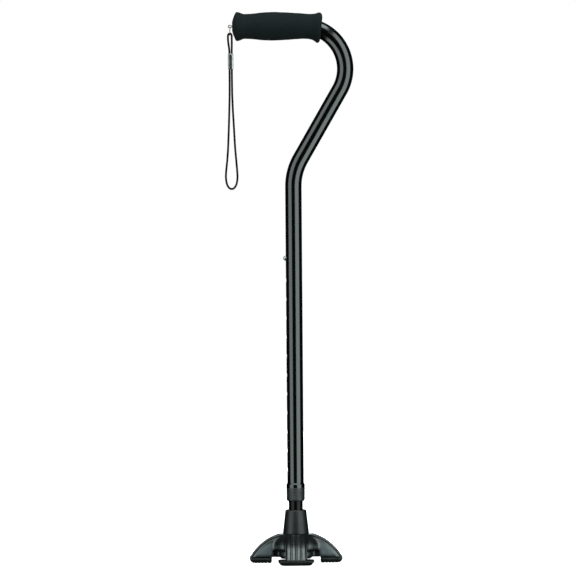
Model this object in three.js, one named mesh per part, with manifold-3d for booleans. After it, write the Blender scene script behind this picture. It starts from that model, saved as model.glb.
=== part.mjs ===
// A height-adjustable walking cane with an offset handle, a wrist strap and a four-lobed foot.
// Millimetres, +Z up. The origin is on the floor, on the shaft's axis; the grip points to -X.
import * as THREE from "three";
import { mergeVertices } from "three/addons/utils/BufferGeometryUtils.js";
import Module from "manifold-3d";

const wasm = await Module();
wasm.setup();

// ---- driving dimensions -------------------------------------------------------------------
const GAP = 0.3; // between pieces that touch
const SIDES = 24; // facets of a full circle on the large round pieces

const OUTER_TUBE_R = 11.1; // 7/8 inch tube
const LOWER_TUBE_R = 9.525; // 3/4 inch tube
const TUBE_WALL = 1.2;
const OUTER_BORE_R = OUTER_TUBE_R - TUBE_WALL;
const LOWER_BORE_R = LOWER_TUBE_R - TUBE_WALL;

const HANDLE_Z = 717.6; // the grip's axis
const HANDLE_REACH = 70.6; // the tube's axis at the outermost point of the upper bend
const UPPER_BEND_R = 57.1;
const SLANT = THREE.MathUtils.degToRad(30); // the slanted stretch, from the vertical
const KNEE_R = 73.6;
const HANDLE_END_X = -74; // the tube's open end inside the grip

const BELL_R = 12.4; // the outer tube's end is flared over the thread bush
const BELL_BOTTOM_Z = 99.6;
const BELL_TOP_Z = 103.8;
const BELL_FLARE = 2.2;

const HOLE_R = 3.6;
const HOLE_PITCH = 25.4;
const HOLE_COUNT = 11; // below the top hole
const LOWEST_HOLE_Z = 123.8;
const TOP_HOLE_Z = 407.3; // the button sits in it at the shortest setting

const LOWER_TUBE_BOTTOM_Z = 20.5;
const LOWER_TUBE_TOP_Z = 434.4;

const RING_TOP_Z = BELL_BOTTOM_Z - GAP;
const RING_BOTTOM_Z = 81.5;
const RING_R = 12.45;

const BUTTON_R = HOLE_R - GAP;
const BUTTON_TIP_X = -14.3;
const BUTTON_BACK_X = -5.5;

const CONE_TOP_Z = 69.9;
const CONE_BOTTOM_Z = 37.6;
const CONE_TOP_R = 14.2;
const CONE_BOTTOM_R = 17.65;
const SPIGOT_R = 14;
const SPIGOT_BOTTOM_Z = 14.4;
const SOCKET_FLOOR_Z = 18.4;
const WASHER_THICKNESS = 1.5;

const PAD_HEIGHT = 6.4;
const PAD_INNER = 32.5; // from the shaft's axis
const PAD_OUTER = 62.4;
const PAD_HALF_WIDTH = 23.8;
const PAD_CORNER = 7;
const CREST_R = 67.7; // the lobes' ribs follow this arc
const CREST_CENTRE = [3, -27.2]; // distance from the axis, height
const RIB_HEIGHT = 1.5;
const RIB_WIDTH = 2.4;
const RIB_PITCH = 6.5;
const LOBE_HALF_WIDTH = 14.5;
const ARCH_Z = 16.4; // top of the open arch between a pad and the core
const WEB_HALF_WIDTH = 10.5; // a web under each arch joins the lobe's foot to the core
const SKIRT_Z = 7; // underside of the core

const EYE_X = -83.4; // the strap's eye, ring and loops hang in this plane
const EYE_R = 2.05;
const WIRE_R = 0.65;
const SCREW_R = 1.3; // the eye's shank
const STRAP_RING_R = 5.6;
const CORD_R = 1.4;
const CORD_SIDES = 8;
const FERRULE_X = -82.6;
const FERRULE_BOTTOM_Z = 660.7;
const FERRULE_TOP_Z = 681.1;
const FERRULE_WIDTH = 7.2;
const FERRULE_DEPTH = 4.4;

// ---- helpers ------------------------------------------------------------------------------
function solid(geometry) {
  const bare = geometry.clone();
  bare.deleteAttribute("normal");
  bare.deleteAttribute("uv");
  const merged = mergeVertices(bare, 1e-4);
  const vertProperties = new Float32Array(merged.attributes.position.array);
  const triVerts = new Uint32Array(merged.index.array);
  return new wasm.Manifold(new wasm.Mesh({ numProp: 3, vertProperties, triVerts }));
}

function geometryOf(body) {
  const mesh = body.getMesh();
  const geometry = new THREE.BufferGeometry();
  geometry.setAttribute("position", new THREE.BufferAttribute(mesh.vertProperties, 3));
  geometry.setIndex(new THREE.BufferAttribute(mesh.triVerts, 1));
  const flat = geometry.toNonIndexed();
  flat.computeVertexNormals();
  return flat;
}

const join = (bodies) => bodies.reduce((whole, body) => whole.add(body));
const cut = (body, tools) => tools.reduce((rest, tool) => rest.subtract(tool), body);

// A solid of revolution about Z from [radius, height] points, counter-clockwise.
function turned(profile, sides = SIDES) {
  const points = profile.map(([radius, height]) => new THREE.Vector2(radius, height));
  return new THREE.LatheGeometry(points, sides).rotateX(Math.PI / 2);
}

// A sleeve about Z between two radii and two heights.
const sleeve = (inner, outer, bottom, top, sides = SIDES) =>
  turned([[inner, bottom], [outer, bottom], [outer, top], [inner, top], [inner, bottom]], sides);

// A plain rod about Z.
const rod = (radius, bottom, top, sides = SIDES) =>
  turned([[0, bottom], [radius, bottom], [radius, top], [0, top]], sides);

// The same shapes about X, with distances counted along X.
const alongX = (geometry) => geometry.rotateY(Math.PI / 2);

const circle = (radius) => new THREE.Shape().absarc(0, 0, radius, 0, 2 * Math.PI, false);

// A curve that is sampled exactly at its given stations, so that straight stretches cost nothing.
class Stations extends THREE.Curve {
  constructor(points, tangents) {
    super();
    this.points = points;
    this.tangents = tangents;
  }
  at(list, u) {
    const place = u * (list.length - 1);
    const low = Math.min(Math.floor(place + 1e-9), list.length - 2);
    return list[low].clone().lerp(list[low + 1], place - low);
  }
  getPoint(u) {
    return this.at(this.points, u);
  }
  getPointAt(u) {
    return this.at(this.points, u);
  }
  getTangentAt(u) {
    return this.at(this.tangents, u).normalize();
  }
}

function swept(path, radius, sides = SIDES) {
  const options = { steps: path.points.length - 1, extrudePath: path, curveSegments: sides / 2 };
  return new THREE.ExtrudeGeometry(circle(radius), options);
}

// A flat outline in X and Z, given thickness along Y and centred on it.
function plate(shape, thickness) {
  const geometry = new THREE.ExtrudeGeometry(shape, { depth: thickness, bevelEnabled: false });
  return geometry.translate(0, 0, -thickness / 2).rotateX(Math.PI / 2);
}

const group = new THREE.Group();
const place = (name, geometry, material) => {
  const mesh = new THREE.Mesh(geometry, material);
  mesh.name = name;
  group.add(mesh);
  return mesh;
};

// ---- materials ----------------------------------------------------------------------------
const finish = (color, roughness, metalness) =>
  new THREE.MeshStandardMaterial({ color, roughness, metalness });
const GLOSS_BLACK = finish(0x0b0c0d, 0.18, 0.6);
const FOAM = finish(0x1e2426, 0.95, 0);
const BLACK_PLASTIC = finish(0x1d2020, 0.55, 0);
const BLACK_RUBBER = finish(0x2a2d2e, 0.6, 0);
const PAD_RUBBER = finish(0x161819, 0.85, 0);
const BRIGHT_METAL = finish(0xc9ccce, 0.25, 1);
const SPRING_STEEL = finish(0x8f9498, 0.35, 1);
const CORD = finish(0x101112, 0.8, 0);

// ---- the handle tube ----------------------------------------------------------------------
const bendCentre = new THREE.Vector3(HANDLE_REACH - UPPER_BEND_R, 0, HANDLE_Z - UPPER_BEND_R);

// The tube's axis from the grip's end to the floor end, with both ends free to run past the tube.
function handlePath(startX, endZ) {
  const points = [];
  const tangents = [];
  const add = (x, z, tx, tz) => {
    points.push(new THREE.Vector3(x, 0, z));
    tangents.push(new THREE.Vector3(tx, 0, tz));
  };
  const arc = (cx, cz, radius, from, to, count, side) => {
    for (let i = 0; i <= count; i++) {
      const angle = THREE.MathUtils.lerp(from, to, i / count);
      const [c, s] = [Math.cos(angle), Math.sin(angle)];
      add(cx + radius * c, cz + radius * s, side * s, -side * c);
    }
  };
  add(startX, HANDLE_Z, 1, 0);
  arc(bendCentre.x, bendCentre.z, UPPER_BEND_R, Math.PI / 2, -SLANT, 11, 1);
  const slantX = bendCentre.x + UPPER_BEND_R * Math.cos(SLANT);
  const slantZ = bendCentre.z - UPPER_BEND_R * Math.sin(SLANT);
  const kneeZ = slantZ - slantX / Math.tan(SLANT) - KNEE_R * Math.tan(SLANT / 2);
  arc(KNEE_R, kneeZ, KNEE_R, Math.PI - SLANT, Math.PI, 3, -1);
  add(0, endZ, 0, -1);
  return new Stations(points, tangents);
}

const buttonHoleHeights = [TOP_HOLE_Z];
for (let i = HOLE_COUNT - 1; i >= 0; i--) buttonHoleHeights.push(LOWEST_HOLE_Z + i * HOLE_PITCH);

const holeThroughLeftWall = (height, radius) =>
  solid(alongX(rod(radius, -OUTER_TUBE_R - 5, -4, 12)).translate(0, 0, height));

function handleTube() {
  const bell = turned([
    [0, BELL_BOTTOM_Z],
    [BELL_R, BELL_BOTTOM_Z],
    [BELL_R, BELL_TOP_Z],
    [OUTER_TUBE_R, BELL_TOP_Z + BELL_FLARE],
    [0, BELL_TOP_Z + BELL_FLARE],
  ]);
  const bellBore = turned([
    [0, BELL_BOTTOM_Z - 1],
    [BELL_R - TUBE_WALL, BELL_BOTTOM_Z - 1],
    [BELL_R - TUBE_WALL, BELL_TOP_Z],
    [OUTER_BORE_R, BELL_TOP_Z + BELL_FLARE],
    [0, BELL_TOP_Z + BELL_FLARE],
  ]);
  const outside = solid(swept(handlePath(HANDLE_END_X, BELL_BOTTOM_Z + 1), OUTER_TUBE_R));
  const inside = solid(swept(handlePath(HANDLE_END_X - 1, BELL_BOTTOM_Z), OUTER_BORE_R));
  const holes = buttonHoleHeights.map((height) => holeThroughLeftWall(height, HOLE_R));
  return geometryOf(cut(outside.add(solid(bell)), [inside, solid(bellBore), ...holes]));
}

// ---- the foam grip ------------------------------------------------------------------------
const GRIP_LEFT = -80.3;
const GRIP_RIGHT = 38.7;
const GRIP_BEND_X = 8; // right of this the foam follows the tube's bend a little
const GRIP_DROP = 3; // of the right end face's centre
const GRIP_TILT = THREE.MathUtils.degToRad(6.3);
// Distance along the axis and radius: domed end, bulge, neck, palm swell, neck, flare, end face.
const GRIP_OUTLINE = [
  [-80.3, 6], [-79, 10.5], [-77.3, 15], [-75.6, 18.4], [-73.9, 19.4], [-70.6, 18.8], [-66, 17],
  [-61.9, 16.6], [-52, 17.2], [-40, 18.5], [-27, 19.05], [-12, 18.6], [4, 17.6], [18.3, 16.8],
  [26, 17.2], [30.5, 18.4], [33.6, 20], [36, 20.2], [37.9, 18.6], [38.7, 16.4],
];
const FLANGE_THICKNESS = 2;
const PLUG_LENGTH = 15;

function foamGrip() {
  const profile = [[0, GRIP_RIGHT], ...GRIP_OUTLINE.toReversed().map(([x, r]) => [r, x]), [0, GRIP_LEFT]];
  const body = alongX(turned(profile.toReversed()));
  const position = body.attributes.position;
  for (let i = 0; i < position.count; i++) {
    const [x, y, z] = [position.getX(i), position.getY(i), position.getZ(i)];
    const share = Math.max(0, (x - GRIP_BEND_X) / (GRIP_RIGHT - GRIP_BEND_X)) ** 2;
    position.setXYZ(i, x + share * z * Math.tan(GRIP_TILT), y, z - share * GRIP_DROP);
  }
  body.translate(0, 0, HANDLE_Z);
  const boreStart = HANDLE_END_X - FLANGE_THICKNESS - 2 * GAP;
  const bore = swept(handlePath(boreStart, 600), OUTER_TUBE_R + GAP);
  const screwHole = alongX(rod(SCREW_R + GAP, GRIP_LEFT - 1, boreStart + 1, 16)).translate(0, 0, HANDLE_Z);
  return geometryOf(cut(solid(body), [solid(bore), solid(screwHole)]));
}

function handleEndPlug() {
  const back = HANDLE_END_X + PLUG_LENGTH;
  const face = HANDLE_END_X - GAP;
  const body = turned([
    [0, face - FLANGE_THICKNESS],
    [OUTER_TUBE_R, face - FLANGE_THICKNESS],
    [OUTER_TUBE_R, face],
    [OUTER_BORE_R - GAP, face],
    [OUTER_BORE_R - GAP, back - 2],
    [OUTER_BORE_R - 1.4, back],
    [0, back],
  ]);
  const pilot = rod(SCREW_R + GAP, face - FLANGE_THICKNESS - 1, back - 3, 16);
  return geometryOf(cut(solid(alongX(body)), [solid(alongX(pilot))])).translate(0, 0, HANDLE_Z);
}

// ---- the wrist strap and its fittings -----------------------------------------------------
function strapEyeScrew() {
  const shank = alongX(rod(SCREW_R, EYE_X + EYE_R, HANDLE_END_X + PLUG_LENGTH - 4, 16));
  const eye = new THREE.TorusGeometry(EYE_R, WIRE_R, 8, 18).rotateX(Math.PI / 2);
  return geometryOf(solid(shank).add(solid(eye.translate(EYE_X, 0, 0)))).translate(0, 0, HANDLE_Z);
}

const strapRingTopZ = HANDLE_Z - EYE_R + WIRE_R + WIRE_R + GAP;
const strapRingZ = strapRingTopZ - STRAP_RING_R;

function strapRing() {
  const ring = new THREE.TorusGeometry(STRAP_RING_R, WIRE_R, 8, 24);
  return ring.rotateY(Math.PI / 2).translate(EYE_X, 0, strapRingZ);
}

function strapFerrule() {
  const r = FERRULE_DEPTH / 2;
  const flat = FERRULE_WIDTH / 2 - r;
  const outline = new THREE.Shape();
  outline.absarc(flat, 0, r - 0.5, -Math.PI / 2, Math.PI / 2, false);
  outline.absarc(-flat, 0, r - 0.5, Math.PI / 2, 1.5 * Math.PI, false);
  const bevel = { bevelThickness: 0.5, bevelSize: 0.5, bevelSegments: 1, curveSegments: 5 };
  const depth = FERRULE_TOP_Z - FERRULE_BOTTOM_Z - 1;
  const body = new THREE.ExtrudeGeometry(outline, { depth, ...bevel });
  return body.translate(FERRULE_X, 0, FERRULE_BOTTOM_Z + 0.5);
}

// The small loop runs up from the ferrule, over the ring's lowest point and back down.
const TETHER_ROUTE = [
  [-81.05, 0, 681.4], [-81.05, 0, 683.9], [-81.0, 0, 687.4], [-80.9, 0, 691.4], [-80.85, 0, 695.4],
  [-80.85, 0, 699.4], [-80.9, 0, 702.9], [-80.95, 0, 705.6], [-81.6, 0, 707.3], [-82.5, 0, 708.15],
  [-83.4, 0, 708.4], [-84.3, 0, 708.15], [-85.2, 0, 707.3], [-85.85, 0, 705.6], [-85.9, 0, 702.9],
  [-85.8, 0, 699.4], [-85.45, 0, 695.4], [-84.9, 0, 691.4], [-84.4, 0, 687.4], [-84.15, 0, 683.9],
  [-84.15, 0, 681.4],
];

// The wrist loop leaves the ferrule's other end, its strands side by side, and opens lower down.
const WRIST_ROUTE = [
  [-81.05, 0, 660.4], [-81.05, 0, 653.4], [-81.0, 0, 645.4], [-80.95, 0, 636.4], [-80.85, 0, 626.4],
  [-80.5, 0.3, 616.4], [-80.1, 0.6, 605.4], [-79.4, 0.9, 592.4], [-78.4, 1.2, 572.4],
  [-77.5, 1.4, 555.4], [-76.2, 1.5, 539.4], [-75.0, 1.4, 524.4], [-74.7, 1.1, 515.9],
  [-75.8, 0.7, 507.9], [-78.6, 0.3, 502.4], [-82.4, 0, 500.6], [-86.2, -0.3, 502.4],
  [-89.0, -0.7, 507.9], [-90.1, -1.1, 515.9], [-89.7, -1.4, 524.4], [-88.1, -1.5, 539.4],
  [-86.9, -1.4, 555.4], [-86.1, -1.2, 572.4], [-85.3, -0.9, 592.4], [-84.9, -0.6, 605.4],
  [-84.55, -0.3, 616.4], [-84.3, 0, 626.4], [-84.2, 0, 636.4], [-84.15, 0, 645.4],
  [-84.15, 0, 653.4], [-84.15, 0, 660.4],
];

function cord(route, steps) {
  const points = route.map(([x, y, z]) => new THREE.Vector3(x, y, z));
  const path = new THREE.CatmullRomCurve3(points, false, "centripetal");
  return new THREE.ExtrudeGeometry(new THREE.Shape(
    Array.from({ length: CORD_SIDES }, (_, i) => {
      const angle = (2 * Math.PI * i) / CORD_SIDES;
      return new THREE.Vector2(CORD_R * Math.cos(angle), CORD_R * Math.sin(angle));
    }),
  ), { steps, extrudePath: path });
}

// ---- the lower tube and what is in it -----------------------------------------------------
function lowerTube() {
  const tube = sleeve(LOWER_BORE_R, LOWER_TUBE_R, LOWER_TUBE_BOTTOM_Z, LOWER_TUBE_TOP_Z);
  return geometryOf(cut(solid(tube), [holeThroughLeftWall(TOP_HOLE_Z, HOLE_R)]));
}

function guideBush() {
  const seat = LOWER_TUBE_TOP_Z + GAP;
  return turned([
    [6, seat - 10],
    [LOWER_BORE_R - GAP, seat - 10],
    [LOWER_BORE_R - GAP, seat],
    [OUTER_BORE_R - 0.15, seat],
    [OUTER_BORE_R - 0.15, seat + 3.5],
    [OUTER_BORE_R - 0.9, seat + 4.5],
    [6, seat + 4.5],
    [6, seat - 10],
  ]);
}

function snapButton() {
  const dome = [[0, BUTTON_TIP_X], [1.3, -14.05], [2.3, -13.4], [3, -12.4], [BUTTON_R, -11.2]];
  const flange = [[BUTTON_R, -6.5], [4.6, -6.5], [4.6, BUTTON_BACK_X], [0, BUTTON_BACK_X]];
  return alongX(turned([...dome, ...flange], 16)).translate(0, 0, TOP_HOLE_Z);
}

// A leaf spring bent to a V: one leg carries the button, the other bears on the far wall.
function buttonSpring() {
  const strip = 0.6;
  const width = 6;
  const middle = [
    [-4.9, 7], [-4.9, -6], [-3.6, -24], [-1.9, -38], [-0.9, -41.2], [0.9, -42.6], [2.8, -41.4],
    [3.8, -38], [5.4, -22], [6.9, -4], [7.1, 4],
  ].map(([x, z]) => new THREE.Vector2(x, z));
  const offset = middle.map((point, i) => {
    const ahead = middle[Math.min(i + 1, middle.length - 1)];
    const behind = middle[Math.max(i - 1, 0)];
    const along = ahead.clone().sub(behind).normalize();
    return new THREE.Vector2(-along.y, along.x).multiplyScalar(strip / 2);
  });
  const left = middle.map((point, i) => point.clone().add(offset[i]));
  const right = middle.map((point, i) => point.clone().sub(offset[i]));
  return plate(new THREE.Shape([...right, ...left.reverse()]), width).translate(0, 0, TOP_HOLE_Z);
}

// ---- the collar ---------------------------------------------------------------------------
const BUSH_BORE_R = LOWER_TUBE_R + 0.15;
const BUSH_R = BELL_R - TUBE_WALL - GAP;
const BUSH_SKIRT_R = 10;

// A plastic bush fills the flared end; its split, tapered skirt is squeezed by the lock ring.
function colletBushing() {
  const top = BELL_TOP_Z - GAP;
  const skirt = RING_BOTTOM_Z + 4.4;
  const body = turned([
    [BUSH_BORE_R, skirt],
    [BUSH_SKIRT_R, skirt],
    [BUSH_R, skirt + 4.2],
    [BUSH_R, top],
    [BUSH_BORE_R, top],
    [BUSH_BORE_R, skirt],
  ]);
  const slots = [0, 60, 120].map((turn) => {
    const slot = new THREE.BoxGeometry(30, 1.2, 16).translate(0, 0, RING_BOTTOM_Z + 3);
    return solid(slot.rotateZ(THREE.MathUtils.degToRad(turn)));
  });
  return geometryOf(cut(solid(body), slots));
}

function lockRing() {
  const thread = BUSH_R + GAP;
  const mouth = LOWER_TUBE_R + 0.4;
  const valley = RING_R - 0.3;
  const outline = [[mouth, RING_BOTTOM_Z], [valley - 1.3, RING_BOTTOM_Z], [valley, RING_BOTTOM_Z + 1.8]];
  const firstRidge = RING_BOTTOM_Z + 3;
  const ridgePitch = 3;
  for (let i = 0; i < 4; i++) {
    const z = firstRidge + i * ridgePitch;
    outline.push([valley, z], [RING_R, z + ridgePitch * 0.3], [RING_R, z + ridgePitch * 0.7]);
  }
  outline.push([valley, RING_TOP_Z - 1.4], [RING_R, RING_TOP_Z - 0.9], [RING_R, RING_TOP_Z]);
  outline.push([thread, RING_TOP_Z], [thread, RING_BOTTOM_Z + 7.6], [mouth, RING_BOTTOM_Z + 2.6]);
  outline.push([mouth, RING_BOTTOM_Z]);
  return turned(outline);
}

// ---- the tip ------------------------------------------------------------------------------
function tipSleeve() {
  const bore = LOWER_TUBE_R + GAP;
  return turned([
    [0, SPIGOT_BOTTOM_Z],
    [SPIGOT_R - 1, SPIGOT_BOTTOM_Z],
    [SPIGOT_R, SPIGOT_BOTTOM_Z + 1],
    [SPIGOT_R, CONE_BOTTOM_Z],
    [CONE_BOTTOM_R - 0.5, CONE_BOTTOM_Z],
    [CONE_BOTTOM_R, CONE_BOTTOM_Z + 0.5],
    [CONE_TOP_R, CONE_TOP_Z - 1.6],
    [CONE_TOP_R - 0.6, CONE_TOP_Z - 0.5],
    [CONE_TOP_R - 1.7, CONE_TOP_Z],
    [bore, CONE_TOP_Z],
    [bore, SOCKET_FLOOR_Z],
    [0, SOCKET_FLOOR_Z],
  ]);
}

const tipWasher = () =>
  sleeve(3, LOWER_TUBE_R, SOCKET_FLOOR_Z + GAP, SOCKET_FLOOR_Z + GAP + WASHER_THICKNESS);

// Half of a lobe's side view is an arc of the crest's circle, so a pair of lobes is one outline.
function lobePair(arcRadius, width) {
  const [cx, cz] = CREST_CENTRE;
  const foot = PAD_HEIGHT + GAP;
  const outer = PAD_OUTER - 1.4;
  const crest = [];
  const start = Math.asin(-cx / arcRadius);
  const reach = Math.asin((outer - cx) / arcRadius);
  const steps = 9;
  for (let i = 0; i <= steps; i++) {
    const angle = THREE.MathUtils.lerp(start, reach, i / steps);
    const height = cz + arcRadius * Math.cos(angle);
    if (height > foot + 0.5) crest.push([cx + arcRadius * Math.sin(angle), height]);
  }
  const edge = cx + Math.sqrt(arcRadius ** 2 - (foot - cz) ** 2);
  const half = [...crest, [edge, foot], [PAD_INNER + 1.5, foot], [PAD_INNER + 0.5, ARCH_Z - 2]];
  half.push([PAD_INNER - 2, ARCH_Z], [10, ARCH_Z]);
  const mirrored = half.slice(1).reverse().map(([x, z]) => [-x, z]);
  const outline = new THREE.Shape([...half, ...mirrored].map(([x, z]) => new THREE.Vector2(x, z)));
  return plate(outline, width);
}

function quadBase() {
  const surfaceR = CREST_R - RIB_HEIGHT;
  const top = CONE_BOTTOM_Z - GAP;
  const bell = turned([
    [0, SKIRT_Z], [24, SKIRT_Z], [25.5, SKIRT_Z + 1.5], [25.5, ARCH_Z - 1], [30.5, ARCH_Z - 1],
    [32.8, 19], [33.3, 22], [32.4, 26], [30.2, 29.4], [26.8, 32.4], [23.2, 35.2], [21.5, top], [0, top],
  ], 32);
  const parts = [solid(bell)];
  for (const turn of [0, Math.PI / 2]) {
    parts.push(solid(lobePair(surfaceR, 2 * LOBE_HALF_WIDTH).rotateZ(turn)));
    const webHeight = ARCH_Z + 2 - SKIRT_Z;
    const web = new THREE.BoxGeometry(2 * (PAD_INNER + 4), 2 * WEB_HALF_WIDTH, webHeight);
    parts.push(solid(web.translate(0, 0, SKIRT_Z + webHeight / 2).rotateZ(turn)));
    for (const side of [-RIB_PITCH, 0, RIB_PITCH]) {
      parts.push(solid(lobePair(CREST_R, RIB_WIDTH).translate(0, side, 0).rotateZ(turn)));
    }
  }
  const above = rod(80, top, top + 20);
  const socket = rod(SPIGOT_R + GAP, SPIGOT_BOTTOM_Z - GAP, top + 1);
  return geometryOf(cut(join(parts), [solid(above), solid(socket)]));
}

// A pad lies under each lobe: its underside is flat and its lower edge is rounded.
function footPad(turn) {
  const edge = 2.4;
  const [inner, outer, half] = [PAD_INNER + edge, PAD_OUTER - edge, PAD_HALF_WIDTH - edge];
  const r = PAD_CORNER - edge;
  const outline = new THREE.Shape();
  outline.moveTo(inner + r / 2, -half);
  outline.absarc(outer - r, -half + r, r, -Math.PI / 2, 0, false);
  outline.absarc(outer - r, half - r, r, 0, Math.PI / 2, false);
  outline.absarc(inner + r / 2, half - r / 2, r / 2, Math.PI / 2, Math.PI, false);
  outline.absarc(inner + r / 2, -half + r / 2, r / 2, Math.PI, 1.5 * Math.PI, false);
  const bevel = { bevelThickness: edge, bevelSize: edge, bevelSegments: 2, curveSegments: 3 };
  const rounded = new THREE.ExtrudeGeometry(outline, { depth: PAD_HEIGHT, ...bevel });
  const body = solid(rounded.translate(0, 0, edge));
  const top = new THREE.BoxGeometry(200, 200, 50).translate(0, 0, PAD_HEIGHT + 25);
  return geometryOf(body.subtract(solid(top))).rotateZ(turn);
}

// ---- the whole cane -----------------------------------------------------------------------
place("handle_tube", handleTube(), GLOSS_BLACK);
place("foam_grip", foamGrip(), FOAM);
place("handle_end_plug", handleEndPlug(), BLACK_PLASTIC);
place("strap_eye_screw", strapEyeScrew(), BRIGHT_METAL);
place("strap_ring", strapRing(), BRIGHT_METAL);
place("strap_tether_loop", cord(TETHER_ROUTE, 28), CORD);
place("strap_ferrule", strapFerrule(), BRIGHT_METAL);
place("wrist_loop", cord(WRIST_ROUTE, 62), CORD);
place("lower_tube", lowerTube(), GLOSS_BLACK);
place("guide_bush", guideBush(), BLACK_PLASTIC);
place("snap_button", snapButton(), BRIGHT_METAL);
place("button_spring", buttonSpring(), SPRING_STEEL);
place("collet_bushing", colletBushing(), BLACK_PLASTIC);
place("lock_ring", lockRing(), BLACK_PLASTIC);
place("tip_washer", tipWasher(), SPRING_STEEL);
place("tip_sleeve", tipSleeve(), BLACK_RUBBER);
place("quad_base", quadBase(), BLACK_RUBBER);
const PAD_TURNS = { right: 0, back: 90, left: 180, front: 270 };
for (const [side, turn] of Object.entries(PAD_TURNS)) {
  place("foot_pad_" + side, footPad(THREE.MathUtils.degToRad(turn)), PAD_RUBBER);
}

export default group;
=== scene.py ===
# %% [markdown]
# # A quad walking cane
# The cane has an offset handle with a foam grip, a cord wrist strap, two telescoping tubes with a
# snap button, a lock ring, and a rubber tip with four lobes that lets it stand by itself.
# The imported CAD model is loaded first. It fixes every size and place, in metres, with the floor at
# Z = 0 and the shaft on the Z axis, and the pieces modelled below are fitted to it.

# %% Load the frame
from math import asin, cos, pi, radians, sin, sqrt, tan

import bmesh
import bpy
from mathutils import Matrix, Vector


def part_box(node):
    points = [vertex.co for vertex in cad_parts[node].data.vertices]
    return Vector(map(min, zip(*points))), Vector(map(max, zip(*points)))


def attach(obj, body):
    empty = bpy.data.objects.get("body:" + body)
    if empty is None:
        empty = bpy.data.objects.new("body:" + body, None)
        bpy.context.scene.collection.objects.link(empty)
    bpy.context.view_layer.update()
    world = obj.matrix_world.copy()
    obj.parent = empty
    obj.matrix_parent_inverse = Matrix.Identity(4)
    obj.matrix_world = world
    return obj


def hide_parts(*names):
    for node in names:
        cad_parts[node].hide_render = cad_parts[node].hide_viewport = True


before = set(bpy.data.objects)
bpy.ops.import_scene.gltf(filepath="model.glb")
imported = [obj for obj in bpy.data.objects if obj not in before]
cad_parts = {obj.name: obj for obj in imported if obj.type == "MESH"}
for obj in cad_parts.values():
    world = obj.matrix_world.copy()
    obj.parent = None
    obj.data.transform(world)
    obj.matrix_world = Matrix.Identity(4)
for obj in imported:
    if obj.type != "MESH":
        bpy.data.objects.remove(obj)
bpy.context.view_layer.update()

MM = 0.001

# %% [markdown]
# ## The sizes that everything shares
# A size that a CAD node already has is read from that node's box, so it can't drift from the
# model. Only the bends' radii can't be read from a box, so they are named here.

# %% Sizes from the frame
lower_low, lower_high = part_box("lower_tube")
plug_low, plug_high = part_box("handle_end_plug")
tube_low, tube_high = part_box("handle_tube")
grip_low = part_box("foam_grip")[0]
collar_low, collar_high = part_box("lock_ring")
sleeve_low, sleeve_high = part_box("tip_sleeve")
pad_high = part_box("foot_pad_right")[1]
button_low, button_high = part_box("snap_button")
ferrule_low, ferrule_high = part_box("strap_ferrule")
wire_low, wire_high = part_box("strap_ring")

LOWER_TUBE_R = lower_high.x
OUTER_TUBE_R = 11.1 * MM
TUBE_WALL = 1.2 * MM
HANDLE_Z = (plug_low.z + plug_high.z) / 2
UPPER_BEND_R = 57.1 * MM
KNEE_R = 73.6 * MM
SLANT = radians(30)
BUTTON_Z = (button_low.z + button_high.z) / 2
HOLE_R = 3.6 * MM
HOLE_PITCH = 25.4 * MM
LOWEST_HOLE_Z = 123.8 * MM
HOLES_BELOW = 11
print("grip axis at", round(HANDLE_Z, 4), "m, button at", round(BUTTON_Z, 4), "m")

# %% [markdown]
# ## The camera
# The camera is far away and has a long lens, so that the tube keeps one width from top to bottom.
# It stands half a metre above the floor and looks slightly down on the base. The cane leans by less
# than half a degree, which is a turn of the camera.

# %% Camera
CAMERA_DISTANCE = 5.0
CAMERA_HEIGHT = 522.4 * MM
CAMERA_ROLL = Matrix.Rotation(radians(-0.44), 4, "Z")
FRAME_WIDTH = 0.7713
SENSOR = 36
camera_data = bpy.data.cameras.new("camera")
camera_data.sensor_width = SENSOR
camera_data.lens = SENSOR * CAMERA_DISTANCE / FRAME_WIDTH
camera = bpy.data.objects.new("camera", camera_data)
bpy.context.scene.collection.objects.link(camera)
aim = Vector((-8.2 * MM, 0, 367.4 * MM))
camera.location = Vector((aim.x, -CAMERA_DISTANCE, CAMERA_HEIGHT))
direction = aim - camera.location
camera_data.clip_end = 50
turn = direction.to_track_quat("-Z", "Y").to_matrix().to_4x4()
camera.matrix_world = Matrix.Translation(camera.location) @ turn @ CAMERA_ROLL
bpy.context.scene.camera = camera
print("lens", round(camera_data.lens), "mm")

# %% [markdown]
# ## Shared modelling helpers
# Blender's operators work on what is selected, and a freshly loaded model is selected all over. So
# each helper first clears the selection, and names the one object that it works on.

# %% Selection helpers
def only(obj):
    if bpy.context.object and bpy.context.object.mode != "OBJECT":
        bpy.ops.object.mode_set(mode="OBJECT")
    bpy.ops.object.select_all(action="DESELECT")
    obj.select_set(True)
    bpy.context.view_layer.objects.active = obj
    return obj


def edit(obj, select="DESELECT"):
    only(obj)
    bpy.ops.object.mode_set(mode="EDIT")
    bpy.ops.mesh.select_mode(type="VERT")
    bpy.ops.mesh.select_all(action=select)


def leave_edit():
    bpy.ops.object.mode_set(mode="OBJECT")


def settle(obj):
    only(obj)
    bpy.ops.object.transform_apply(location=True, rotation=True, scale=True)
    return obj


def modifier(obj, kind, **settings):
    only(obj)
    bpy.ops.object.modifier_add(type=kind)
    made = obj.modifiers[-1]
    for name, value in settings.items():
        setattr(made, name, value)
    bpy.ops.object.modifier_apply(modifier=made.name)
    return obj


def cut(obj, cutter, operation="DIFFERENCE"):
    modifier(obj, "BOOLEAN", object=cutter, operation=operation, solver="EXACT")
    bpy.data.objects.remove(cutter)
    return obj


def join(pieces, name):
    only(pieces[0])
    for piece in pieces:
        piece.select_set(True)
    bpy.ops.object.join()
    pieces[0].name = name
    return pieces[0]


def copy_of(obj, name):
    only(obj)
    bpy.ops.object.duplicate(linked=False)
    made = bpy.context.object
    made.name = name
    return made


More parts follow.
